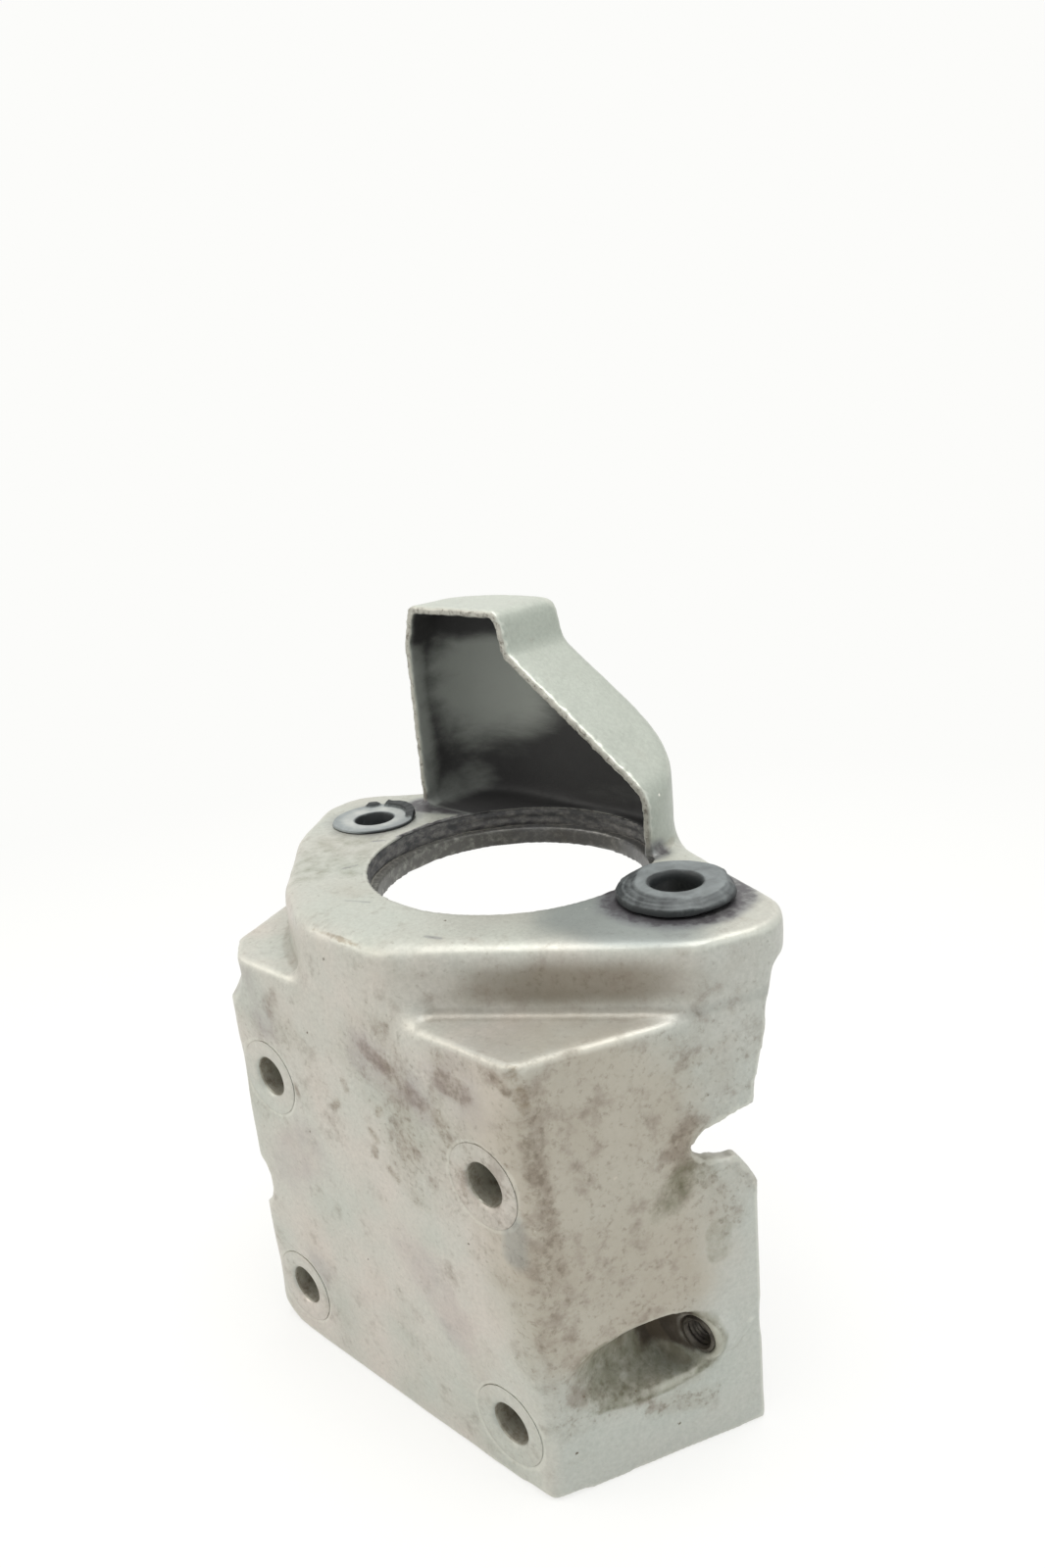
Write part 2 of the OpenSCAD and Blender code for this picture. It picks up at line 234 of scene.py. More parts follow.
# Applies a piece's modifiers to its mesh
def settle(piece):
    bpy.context.view_layer.update()
    solved = piece.evaluated_get(bpy.context.evaluated_depsgraph_get())
    shaped = bpy.data.meshes.new_from_object(solved)
    piece.modifiers.clear()
    piece.data = shaped


# A piece's vertex positions and normals
def surface(piece):
    places = np.empty(len(piece.data.vertices) * 3, np.float32)
    normals = np.empty(len(piece.data.vertices) * 3, np.float32)
    piece.data.vertices.foreach_get("co", places)
    piece.data.vertex_normals.foreach_get("vector", normals)
    return places.reshape(-1, 3), normals.reshape(-1, 3)


# Rises smoothly from 0 at start to 1 at end; a start above the end makes it fall
def ramp(values, start, end):
    share = np.clip((values - start) / (end - start), 0, 1)
    return share * share * (3 - 2 * share)


# 1 within reach of a straight line between two points, fading to 0 over the edge
def along(places, start, end, reach, edge):
    start, run = np.array(start), np.array(end) - np.array(start)
    share = np.clip((places - start) @ run / max(run @ run, 1e-12), 0, 1)
    return ramp(np.linalg.norm(places - start - share[:, None] * run, axis=1), reach + edge, reach)


# Vertex weights in sixteenths
def weigh(piece, name, weights):
    group = piece.vertex_groups.new(name=name)
    steps = np.round(np.clip(weights, 0, 1) * 16).astype(int)
    for step in range(1, 17):
        group.add(np.flatnonzero(steps == step).tolist(), step / 16, "REPLACE")
    return name


# A point on the bolting face, the right side or the deck, given in mm
def on_face(across, height):
    return (across * MM, face_y, height * MM)


def on_side(run, height):
    return (face_half + run * MM * sin(side_flare), face_y + run * MM * cos(side_flare), height * MM)


def on_deck(across, back):
    return (across * MM, middle.y + back * MM, deck_z)


# 1 over the torn edge round the cable gap
def gap_edge(places):
    x, y, z = places.T
    near = ramp(y, back_y - 16 * MM, back_y - 14 * MM)
    near *= ramp(x, right_high.x - 14 * MM, right_high.x - 12 * MM)
    return near * ramp(np.abs(z - shoulder_z + gap_drop), 13 * MM, 11 * MM)


skin = housing.modifiers.new("skin", "REMESH")
skin.mode = "VOXEL"
skin.voxel_size = SKIN_STEP
settle(housing)

places, normals = surface(housing)
x, y, z = places.T
# How much each place is rounded off: a quarter, and in full from the shoulder up
soft = np.full(len(x), 0.25)
soft = np.maximum(soft, ramp(z, shoulder_z - 6 * MM, shoulder_z - 3 * MM))
# Full rounding down the upright corner and in the scoop
soft = np.maximum(soft, ramp(np.hypot(x - face_half, y - face_y), 9 * MM, 6 * MM))
scoop_mouth = side_boss - Vector((0, 24 * MM, 0))
soft = np.maximum(soft, along(places, scoop_mouth, side_boss, 9 * MM, 3 * MM))
# The ledge's front corner stays sharper
ledge_end = along(places, (29 * MM, face_y, shoulder_z), (37 * MM, face_y, shoulder_z), 2 * MM, 5 * MM)
soft *= 1 - 0.6 * ledge_end
# The hood's back is as soft as the deck, its rim crisp
rim = ramp(z, deck_z + 0.5 * MM, deck_z + 2 * MM) * ramp(y, hood_low.y + 3 * MM, hood_low.y + 1 * MM)
soft *= 1 - 0.85 * rim
# The opening, the bush seats and the cable gap stay crisp too
mouth = ramp(np.hypot(x - middle.x, y - middle.y), 34 * MM, 31.5 * MM)
mouth *= ramp(z, deck_z - 12 * MM, deck_z - 10 * MM) * ramp(z, deck_z + 2 * MM, deck_z + 1 * MM)
soft *= 1 - 0.92 * mouth
for bolt in bolts:
    soft *= 1 - ramp(np.hypot(x - bolt.x, z - bolt.z), 11.5 * MM, 9.5 * MM)
soft *= 1 - 0.6 * gap_edge(places)

round_off = housing.modifiers.new("round_off", "SMOOTH")
round_off.factor = 0.5
round_off.iterations = round(4 * (ROUNDING / SKIN_STEP) ** 2)
round_off.vertex_group = weigh(housing, "soft", soft)
settle(housing)

# The deck's front edge is rounder still, and its corners run into one curve
places, normals = surface(housing)
kinks = np.zeros(len(places))
for across in (10 * MM, -10 * MM):
    foot, top = (across, face_y, shoulder_z + 3 * MM), (across, face_y, deck_z)
    kinks = np.maximum(kinks, along(places, foot, top, 6 * MM, 4 * MM))
front = ramp(places[:, 1], middle.y - 12 * MM, middle.y - 24 * MM)
front *= ramp(places[:, 2], deck_z - 6 * MM, deck_z - 3 * MM)
clear = ramp(np.hypot(places[:, 0] - middle.x, places[:, 1] - middle.y), 32 * MM, 35 * MM)
round_deck = housing.modifiers.new("round_deck", "SMOOTH")
round_deck.factor = 0.5
round_deck.iterations = round(4 * (DECK_ROUNDING / SKIN_STEP) ** 2)
round_deck.vertex_group = weigh(housing, "front", np.maximum(0.5 * front, kinks) * clear)
settle(housing)

# The upright corners' full radius
places, normals = surface(housing)
side_way = np.array([sin(side_flare), cos(side_flare), 0])
side_out = np.array([cos(side_flare), -sin(side_flare), 0])
inset = CORNER_R * (1 - sin(side_flare)) / cos(side_flare)
axis = np.array([face_half - inset, face_y + CORNER_R, 0])
for way in (1, -1):
    mirror = np.array([way, 1, 1])
    off = places * mirror - axis
    off[:, 2] = 0
    far = np.linalg.norm(off, axis=1)
    outside = (off[:, 0] > 0) & (off @ side_way < 0) & (far > CORNER_R)
    outside &= places[:, 2] < shoulder_z + 0.5 * MM
    pull = np.where(outside, CORNER_R / np.maximum(far, 1e-9), 1)[:, None]
    places += off * mirror * (pull - 1)
# The dent round the cable gap, and the ridge
dent = DENT_DEPTH * ramp(np.linalg.norm(places - on_side(34, 61), axis=1), 13 * MM, 4 * MM)
dent *= ramp(places[:, 1], back_y - 1 * MM, back_y - 7 * MM)
ridge = RIDGE_HEIGHT * along(places, on_side(38.5, 21.5), on_side(42.5, 25), 0.3 * MM, 1.6 * MM)
places -= (dent - ridge)[:, None] * side_out
# The face drawn in flush with the bush flanges
for bolt in bolts:
    off = places - np.array([bolt.x, 0, bolt.z])
    off[:, 1] = 0
    far = np.linalg.norm(off, axis=1)
    at_face = ramp(places[:, 1], face_y + 2.4 * MM, face_y + 1.4 * MM)
    close = at_face * ramp(far, 9.6 * MM, 8.5 * MM) * (far > 7.8 * MM)
    places -= off * (close * DRAWN_IN / np.maximum(far, 1e-9))[:, None]
    places[:, 1] += FACE_LEVEL * at_face * ramp(far, 12.5 * MM, 8.6 * MM)
housing.data.vertices.foreach_set("co", places.astype(np.float32).ravel())
housing.data.update()

# Slow waves of the die, and small chips along the hood's rim and the cable gap
places, normals = surface(housing)
x, y, z = places.T
rim = ramp(z, deck_z + 1 * MM, deck_z + 3 * MM) * ramp(y, hood_low.y + 2.4 * MM, hood_low.y + 0.6 * MM)
everywhere, chipped = np.ones(len(x)), np.maximum(rim, 0.8 * gap_edge(places))
for name, size, height, where_to in (("die_waves", 14, 0.26, everywhere),
                                     ("skin_grain", 2.6, 0.07, everywhere),
                                     ("chips", 1.7, 0.55, chipped)):
    cloud = bpy.data.textures.new(name, "CLOUDS")
    cloud.noise_scale = size * MM
    cloud.noise_depth = 2
    lay = housing.modifiers.new(name, "DISPLACE")
    lay.texture = cloud
    lay.texture_coords = "LOCAL"
    lay.strength = height * MM
    lay.mid_level = 0.6
    lay.vertex_group = weigh(housing, name, where_to)
settle(housing)
housing.data.name = "cast_housing"
housing.data.polygons.foreach_set("use_smooth", [True] * len(housing.data.polygons))

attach(housing, "root")
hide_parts(*CASTING)

# ---- Enamel on the casting --------------------------------------------------
# Sprayed silver-grey enamel: aluminium flake gives wide soft highlights, and oil
# and dirt have soaked it brown where hands and drips reach. Some marks also carry
# painted shade and painted highlight. Where each mark lies is held on the skin as
# a number from 0 to 1, and the material breaks it up.

places, normals = surface(housing)
x, y, z = places.T
bare = np.zeros(len(x))
from_middle = np.hypot(x - middle.x, y - middle.y)
in_opening = from_middle < 31 * MM
below_deck = ramp(z, deck_z, shoulder_z)
ends = np.empty(len(housing.data.edges) * 2, np.int32)
housing.data.edges.foreach_get("vertices", ends)
ends = ends.reshape(-1, 2)
touching = np.bincount(ends.ravel(), minlength=len(x))


# Each value's mean over the neighbouring vertices, so many times over
def spread(values, times):
    for _ in range(times):
        total = [np.bincount(ends[:, 0], column[ends[:, 1]], len(x)) +
                 np.bincount(ends[:, 1], column[ends[:, 0]], len(x)) for column in values.T]
        values = np.stack(total, axis=1) / touching[:, None]
    return values


# Keeps a mark on the skin, from 0 to 1
def mark(name, values):
    housing.data.attributes.new(name, "FLOAT", "POINT").data.foreach_set(
        "value", np.clip(values, 0, 1).astype(np.float32))


# Lays streaks over what is there, each from, to, reach and edge in mm, strength
def streaked(under, streaks):
    for start, end, reach, edge, strength in streaks:
        under = np.maximum(under, strength * along(places, start, end, reach * MM, edge * MM))
    return under


# Depth of hollows (above 0) and height of edges (below 0) across about 1.5 mm
average = spread(places, round((1.1 * MM / SKIN_STEP) ** 2 * 2))
hollow = np.einsum("ij,ij->i", average - places, normals)
mark("crevice", ramp(hollow, 0.03 * MM, 0.16 * MM))
# The edge mark lightens convex edges: wear, and a painted highlight along them
mark("edge", ramp(-hollow, 0.04 * MM, 0.2 * MM))

# Drips and oil
STAINS = (
    (on_face(3.3, 83.6), on_face(9, 81), 0.8, 3, 0.72), (on_face(9, 81), on_face(18, 77), 0.8, 4, 0.62),
    (on_face(25, 84), on_face(29, 83), 1.5, 3, 0.68), (on_face(24, 88), on_face(40, 90), 0.5, 6, 0.45),
    (on_face(12, 75), on_face(13, 62), 1.5, 6, 0.52), (on_side(4, 62), on_side(5, 50), 0.5, 5, 0.62),
    (on_side(2, 77), on_side(4, 66), 0.8, 4, 0.62), (on_face(38, 89), on_face(40, 87), 0.5, 2, 0.7),
    (on_face(8, 66), on_face(14, 56), 1, 8, 0.42), (on_face(-20, 80), on_face(-12, 70), 1, 7, 0.38),
    (on_face(-26, 84), on_face(-22, 72), 1, 6, 0.38), (on_face(16, 60), on_face(34, 48), 1, 10, 0.36),
    (on_face(39, 82), on_face(38, 30), 1, 5, 0.42), (on_face(6, 82), on_face(32, 64), 6, 12, 0.42),
    (on_face(22, 76), on_face(25, 69), 0.8, 4, 0.55), (on_face(-34, 76), on_face(-10, 60), 2, 14, 0.32),
    (on_side(3, 86), on_side(2, 36), 1, 7, 0.5), (on_side(8, 84), on_side(12, 40), 6, 14, 0.35),
    (on_side(20, 80), on_side(20, 44), 4, 14, 0.29), (on_side(32, 70), on_side(30, 60), 1, 9, 0.6),
    (on_side(36, 58), on_side(39, 50), 1, 7, 0.5), (on_side(8, 22), on_side(20, 18), 2, 6, 0.5),
    (on_side(28, 82), on_side(42, 86), 0, 5, 0.48), (on_side(0, 92), on_side(12, 92), 0.5, 2.5, 0.6),
    (on_face(20, 92), on_side(0, 92), 0.2, 2, 0.45), (on_side(22, 13), on_side(33, 11), 1, 4, 0.45),
)
# Small spots on the bolting face: across, height, and how far each one drifts
SPOTS = ((2, 65, 1.5), (5.8, 71.3, -1), (-4.6, 73.4, 0.7), (-7.5, 68, -1.2),
         (2.5, 61.4, -0.3), (6.2, 58.3, 1.9), (-22, 66, 1))
clean = streaked(bare, ((on_side(42, 44), on_side(42, 10), 4, 8, 1),
                        (on_side(4, 4), on_side(40, 6), 5, 7, 1)))
side_tone = ramp(normals[:, 0], 0.4, 0.85) * below_deck * (0.12 + 0.08 * ramp(z, 70 * MM, 20 * MM))
stain = (0.23 + side_tone) * (1 - 0.75 * clean) - 0.2 * clean
stain = streaked(stain, STAINS)
stain = streaked(stain, [(on_face(across, height), on_face(across + drift, height - 1.3), 0.2, 2.2, 0.58)
                         for across, height, drift in SPOTS])
# Painted shade and dirt on the wall below the deck's front edge, and dirt on the ledge at its foot
ledge = ramp(z, shoulder_z - 1 * MM, shoulder_z) * ramp(z, shoulder_z + 3 * MM, shoulder_z + 1 * MM)
ledge *= ramp(x, 6 * MM, 24 * MM)
wall = ramp(z, shoulder_z, shoulder_z + 5 * MM) * ramp(z, deck_z, deck_z - 6 * MM)
wall *= ramp(x, 9 * MM, 36 * MM) * ramp(x, 66 * MM, 44 * MM) * ramp(y, middle.y, middle.y - 8 * MM)
wall = np.maximum(wall, 0.22 * ledge)
mark("wall_shade", wall)
# The stain mark also takes in the painted wall shade
stain = np.maximum(stain, 0.4 * wall)
mark("stain", stain * (1 - 0.7 * ramp(z, deck_z + 2 * MM, deck_z + 8 * MM)))

# Black dirt round the rubbers, at the opening's left end and at the hood's feet,
# painted shade at the back of the opening, and scratches
soot = bare
near_deck = ramp(np.abs(z - deck_z), 5 * MM, 2 * MM)
for grommet, reach, strength in ((grommets[0], 12.0, 0.95), (grommets[1], 9.3, 0.45)):
    far = np.hypot(x - grommet.x, y - grommet.y)
    soot = np.maximum(soot, strength * ramp(far, (reach + 6) * MM, reach * MM) * near_deck)
# Darker towards the back of the opening: painted shade, in the same mark as the soot
back_of_opening = ramp(y, middle.y + 10 * MM, middle.y + 24 * MM) * in_opening * (z < deck_z + 1 * MM)
soot = np.maximum(soot, 0.5 * back_of_opening)
SCRATCHES = ((on_deck(-12, -35), on_deck(-7, -33)), (on_deck(-26, -24), on_deck(-25, -21)),
             (on_deck(-33, -10), on_deck(-31, -8)), (on_deck(14, -38), on_deck(17, -37)))
soot = streaked(soot, [(start, end, 0.1, 0.8, 0.55) for start, end in SCRATCHES])
foot = ramp(np.abs(z - deck_z), 5 * MM, 1.5 * MM)
left_foot = (hood_low.x + 1 * MM, hood_low.y, deck_z), (hood_low.x + 14 * MM, hood_low.y + 4 * MM, deck_z)
right_foot = (hood_high.x - 1 * MM, hood_low.y - 1 * MM, deck_z), (hood_high.x, hood_low.y + 2 * MM, deck_z)
mark("soot", streaked(soot, ((on_deck(-31, -2), on_deck(-27, 16), 2, 4, 0.8 * in_opening),
                             (*left_foot, 3, 5, 0.95 * foot), (*right_foot, 1.5, 3.5, 0.75 * foot))))
# A thin grey smudge by the right isolator, below the upper right bolt and on the ledge
on_top = ramp(z, deck_z - 2 * MM, deck_z)
mark("smudge", streaked(0.3 * ledge, ((on_deck(34, -14), on_deck(46, -16), 3, 15, on_top),
                                      (on_face(38, 60), on_face(38, 54), 1.5, 3, 0.55))))

# Grease at the side screw, olive film in the scoop and beside the cable gap, and
# painted shade on the deck's left in the same mark as the film
boss_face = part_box("side_insert_right")[0].y
from_screw = np.hypot(x - side_boss.x, z - side_boss.z)
from_axis = np.hypot(x - face_half - 9 * MM, z - side_boss.z)
in_scoop = ramp(from_axis, 9.3 * MM, 8.2 * MM) * ramp(y, boss_face + 2 * MM, boss_face) * (x > face_half)
grease = in_scoop * ramp(y, boss_face - 8 * MM, boss_face - 3 * MM)
grease *= ramp(z, side_boss.z - 6 * MM, side_boss.z - 3 * MM)
mark("grease", grease * ramp(x, side_boss.x + 1 * MM, side_boss.x - 2 * MM))
film = 0.72 * in_scoop * ramp(y, boss_face - 28 * MM, boss_face - 18 * MM)
film = np.maximum(film, 0.7 * ramp(from_screw, 9 * MM, 5 * MM) * ramp(np.abs(y - boss_face), 4 * MM, 1 * MM))
mark("film", streaked(film, (
    (on_side(11, 20.5), on_side(18, 19), 1, 5.5, 0.7), (on_side(27.5, 57.5), on_side(33, 60), 1, 7, 0.6),
    # The deck's left patch is painted shade
    (on_deck(-40, -8), on_deck(-30, -26), 5, 10, 0.42), (on_side(37, 47), on_side(37, 43), 2.4, 1.2, 0.5))))

# Brown line along the deck's left arris, the side's warm tone, a faint mauve bloom
# on the bolting face, and fine bright nicks in clusters
arris = (-14 * MM, face_y + 1.2 * MM, deck_z - 0.8 * MM), (9 * MM, face_y + 0.8 * MM, deck_z - 0.9 * MM)
mark("brown_line", streaked(bare, ((*arris, 0.3, 0.8, 1), (on_side(0.5, 91), on_side(2, 84), 0.6, 3, 0.75))))
mark("warm", along(places, on_side(12, 74), on_side(16, 44), 12 * MM, 18 * MM) * below_deck)
BLOOM = ((on_face(-33, 12), on_face(-24, 20)), (on_face(10, 40), on_face(20, 30)),
         (on_face(26, 84), on_face(29, 82)), (on_face(-20, 52), on_face(-30, 44)),
         (on_face(4, 82), on_face(16, 78)), (on_face(-34, 86), on_face(-30, 80)))
mark("mauve", streaked(bare, [(start, end, 2, 9, 0.5) for start, end in BLOOM]))
NICKS = ((on_side(8, 70), on_side(13, 67)), (on_side(12, 46), on_side(13, 40)),
         (on_side(19, 37), on_side(22, 34)), (on_side(2, 60), on_side(3, 52)),
         (on_side(3, 44), on_side(5, 40)), (on_side(14, 56), on_side(16, 54)),
         (on_face(20, 88), on_face(28, 89)), (on_face(30, 70), on_face(36, 62)),
         (on_deck(20, -30), on_deck(30, -26)))
mark("scuff", streaked(bare, [(start, end, 0.6, 3, 0.75) for start, end in NICKS]))
mark("upper", ramp(z, deck_z - 3 * MM, deck_z + 2 * MM))

# Inside of the hood: what faces its heart. It is painted darker, partly for dirt and partly as painted shade
heart = np.array([(hood_low.x + hood_high.x) / 2 - 8 * MM, (hood_low.y + hood_high.y) / 2, deck_z + 14 * MM])
towards = heart - places
towards /= np.linalg.norm(towards, axis=1)[:, None]
inside = ramp(np.einsum("ij,ij->i", towards, normals), 0.05, 0.25)
inside *= ramp(y, hood_low.y - 1 * MM, hood_low.y + 2 * MM) * ramp(z, deck_z - 2 * MM, deck_z - 1 * MM)
inside *= ramp(x, hood_low.x - 1 * MM, hood_low.x + 1 * MM)
inside *= ramp(x, hood_high.x + 1 * MM, hood_high.x - 1 * MM)
mark("hood_inside", inside)
# Painted shade over the hood's inside and its ceiling, with painted light left on
# patches of the back wall and on the left lip
left_lip = ramp(x, hood_low.x + 5 * MM, hood_low.x + 3 * MM)
left_lip *= ramp(y, hood_low.y + 7 * MM, hood_low.y + 2 * MM)
high_patch = (-46 * MM, hood_high.y - 2 * MM, 132 * MM), (-27 * MM, hood_high.y, 134 * MM)
low_patch = ((-42 * MM, hood_high.y - 15 * MM, deck_z + 1 * MM),
             (-38 * MM, hood_high.y - 3 * MM, deck_z + 4 * MM))
painted_light_patches = streaked(0.8 * left_lip, ((*high_patch, 6, 16, 1), (*low_patch, 1, 8, 0.65)))
ceiling = ramp(z, hood_high.z - 13 * MM, hood_high.z - 7 * MM)
mark("hood_dark", inside * np.maximum(1 - painted_light_patches, 0.9 * ceiling))
# The hood's bare rim, and the machined well of the opening
rim = ramp(y, hood_low.y + 1.1 * MM, hood_low.y + 0.4 * MM) * ramp(z, deck_z, deck_z + 2 * MM)
mark("bare_rim", rim * ramp(-normals[:, 1], 0.5, 0.85))
well = ramp(from_middle, 30.6 * MM, 30 * MM) * ramp(z, deck_z + 0.2 * MM, deck_z - 0.8 * MM)
mark("well", well * ramp(from_middle, 26 * MM, 28 * MM) * ramp(z, deck_z - 16 * MM, deck_z - 14 * MM))

enamel = bpy.data.materials.new("silver_grey_enamel")
enamel.use_nodes = True
tree = enamel.node_tree
shader = tree.nodes["Principled BSDF"]
where = add(tree, "ShaderNodeTexCoord").outputs["Object"]
# The painted shade in the hood is streaked sideways
shade_streaks = add(tree, "ShaderNodeMapping", {"Vector": where, "Scale": (0.28, 1, 1.5)}).outputs[0]


# A mark's 0 to 1 value on the skin, broken up by a noise of that size in mm
def broken(name, size, low, high, amount):
    held = add(tree, "ShaderNodeAttribute", attribute_name=name).outputs["Fac"]
    # The hood's painted shade takes the sideways streaks
    cloud = add(tree, "ShaderNodeTexNoise", {"Vector": shade_streaks if name == "hood_dark" else where,
                                             "Scale": 1 / (size * MM), "Detail": 5, "Roughness": 0.62})
    pushed = add(tree, "ShaderNodeMath", {0: cloud.outputs["Fac"], 1: amount, 2: -amount / 2},
                 operation="MULTIPLY_ADD")
    total = add(tree, "ShaderNodeMath", {0: held, 1: pushed.outputs[0]}, operation="ADD")
    return add(tree, "ShaderNodeMapRange", {"Value": total.outputs[0], "From Min": low, "From Max": high},
               interpolation_type="SMOOTHSTEP").outputs[0]


slow = add(tree, "ShaderNodeTexNoise", {"Vector": where, "Scale": 1 / (22 * MM), "Detail": 3})
tone = add(tree, "ShaderNodeMapRange", {"Value": slow.outputs["Fac"], "From Min": 0.35, "From Max": 0.65})
coat = add(tree, "ShaderNodeMix", {0: tone.outputs[0], 6: colour("C3BCB3"), 7: colour("B8BAB1")},
           data_type="RGBA").outputs[2]
# The right side is cooler, and darker as painted shade where faces turn right.
# The hood is greener, and its right flank darker still, also painted shade
facing = add(tree, "ShaderNodeSeparateXYZ", {0: add(tree, "ShaderNodeNewGeometry").outputs["Normal"]})
cool_tint_and_shade = add(tree, "ShaderNodeMapRange", {"Value": facing.outputs[0], "From Min": 0.3, "From Max": 0.95,
                                        "To Max": 0.7}).outputs[0]
upper = add(tree, "ShaderNodeAttribute", attribute_name="upper").outputs["Fac"]
flank_tint_and_shade = add(tree, "ShaderNodeMath", {0: upper, 1: cool_tint_and_shade}, operation="MULTIPLY").outputs[0]
for amount, code in ((cool_tint_and_shade, "AEB4AE"), (upper, "B5B9AF"), (flank_tint_and_shade, "979E94")):
    coat = add(tree, "ShaderNodeMix", {0: amount, 6: coat, 7: colour(code)}, data_type="RGBA").outputs[2]
# Grain of the sprayed coat, coarser than the real flake so that it shows
grain = add(tree, "ShaderNodeTexNoise", {"Vector": where, "Scale": 1 / (0.9 * MM), "Detail": 4,
                                         "Roughness": 0.7})
dark = add(tree, "ShaderNodeMapRange", {"Value": grain.outputs["Fac"], "From Min": 0.3, "From Max": 0.7,
                                        "To Min": 0.9, "To Max": 1.08})
coat = add(tree, "ShaderNodeVectorMath", {0: coat, 3: dark.outputs[0]}, operation="SCALE").outputs[0]

# Sparse specks about 4.5 mm apart, dark pits and bright chips
ragged = add(tree, "ShaderNodeVectorMath", {0: grain.outputs["Color"], 1: (1.2 * MM,) * 3, 2: where},
             operation="MULTIPLY_ADD")
cells = add(tree, "ShaderNodeTexVoronoi", {"Vector": ragged.outputs[0], "Scale": 1 / (4.5 * MM),
                                           "Randomness": 1.0})
pick = add(tree, "ShaderNodeSeparateColor", {0: cells.outputs["Color"]})
dot = add(tree, "ShaderNodeMapRange", {"Value": cells.outputs["Distance"], "From Min": 0.09,
                                       "From Max": 0.04}).outputs[0]
specks = []
for channel, rarity, code in ((0, 0.86, "5B5142"), (1, 0.93, "E6E3DA")):
    rare = add(tree, "ShaderNodeMath", {0: pick.outputs[channel], 1: rarity}, operation="GREATER_THAN")
    specks.append(add(tree, "ShaderNodeMath", {0: rare.outputs[0], 1: dot}, operation="MULTIPLY").outputs[0])
    coat = add(tree, "ShaderNodeMix", {0: specks[-1], 6: coat, 7: colour(code)}, data_type="RGBA").outputs[2]
# Mark, noise size in mm, from, to, amount, colour, share
LAYERS = (
    ("warm", 9.0, 0.0, 1.0, 0.9, "AEA697", 0.75),
    ("wall_shade", 9.0, 0.0, 1.0, 0.5, "756D5F", 0.78),
    # Stains, with the painted wall shade mixed in
    ("stain", 14.0, 0.15, 0.85, 1.0, "978C7B", 0.5),
    ("stain", 4.6, 0.3, 0.95, 2.4, "7A6C60", 0.5),
    ("stain", 1.3, 0.4, 1.0, 2.6, "6E6353", 0.42),
    # Olive film, and the painted shade on the deck's left
    ("film", 4.0, 0.2, 0.95, 1.1, "6B6B54", 0.74),
    ("film", 1.6, 0.6, 1.15, 1.7, "57503D", 0.45),
    ("mauve", 6.0, 0.1, 1.0, 1.2, "8F8285", 0.5),
    ("grease", 3.0, 0.15, 0.95, 1.1, "453A31", 0.88),
    ("crevice", 2.0, 0.35, 1.0, 0.5, "7A705F", 0.35),
    # Lighter convex edges: wear, and a painted highlight
    ("edge", 3.0, 0.3, 1.0, 0.5, "DADACF", 0.3),
    ("scuff", 0.9, 1.05, 1.3, 1.9, "E9E7E0", 0.85),
    ("brown_line", 1.6, 0.45, 1.1, 1.7, "75644B", 0.6),
    ("well", 3.0, 0.3, 0.8, 0.7, "86867E", 0.74),
    ("well", 1.6, 0.6, 1.1, 1.5, "4A4846", 0.75),
    ("smudge", 12.0, 0.0, 1.0, 0.5, "747C7C", 0.7),
    # Soot, with the painted shade at the back of the opening
    ("soot", 7.0, 0.1, 0.85, 0.8, "6C6D70", 0.75),
    ("soot", 2.0, 0.55, 1.0, 1.2, "3B363B", 0.8),
    # The hood's inside: darker for dirt, and as painted shade
    ("hood_inside", 8.0, 0.2, 0.7, 0.3, "979B96", 0.94),
    # Painted shade inside the hood
    ("hood_dark", 8.0, 0.05, 0.95, 0.9, "2E2D2E", 0.96),
    ("bare_rim", 2.0, 0.3, 1.1, 1.4, "A4A198", 0.75),
    ("bare_rim", 0.9, 0.95, 1.35, 1.9, "575047", 0.75),
    ("bare_rim", 1.4, 1.2, 1.5, 1.9, "E4E2DB", 0.8),
)
# Dirt is duller than the enamel, and so is the painted shade in the same marks
dull = add(tree, "ShaderNodeMapRange", {"Value": slow.outputs["Fac"], "From Min": 0.3, "From Max": 0.7,
                                        "To Min": 0.36, "To Max": 0.46}).outputs[0]
for name, size, low, high, amount, code, share in LAYERS:
    found = broken(name, size, low, high, amount)
    part = add(tree, "ShaderNodeMath", {0: found, 1: share}, operation="MULTIPLY").outputs[0]
    coat = add(tree, "ShaderNodeMix", {0: part, 6: coat, 7: colour(code)}, data_type="RGBA").outputs[2]
    if name in ("stain", "film", "grease", "hood_inside"):
        dull = add(tree, "ShaderNodeMath", {0: part, 1: 0.3, 2: dull}, operation="MULTIPLY_ADD").outputs[0]
tree.links.new(coat, shader.inputs["Base Color"])
tree.links.new(dull, shader.inputs["Roughness"])
shader.inputs["Metallic"].default_value = 0.35

tiny = add(tree, "ShaderNodeTexNoise", {"Vector": where, "Scale": 1 / (0.45 * MM), "Detail": 3})
height = add(tree, "ShaderNodeMath", {0: grain.outputs["Fac"], 1: tiny.outputs["Fac"]}, operation="ADD")
sunk = add(tree, "ShaderNodeMath", {0: specks[0], 1: -1.5, 2: height.outputs[0]}, operation="MULTIPLY_ADD")
bump = add(tree, "ShaderNodeBump", {"Height": sunk.outputs[0], "Strength": 0.35, "Distance": 0.06 * MM})
tree.links.new(bump.outputs[0], shader.inputs["Normal"])
housing.data.materials.clear()
housing.data.materials.append(enamel)

# ---- Bolt bushes ------------------------------------------------------------
# Four turned steel bushes pressed into the bosses behind the bolting face. Their
# flanges were sprayed with the casting, so only the bores show bare, stained steel.

TURNS = 96
FLANGE_THICK, SLEEVE_WALL = 1 * MM, 1.8 * MM


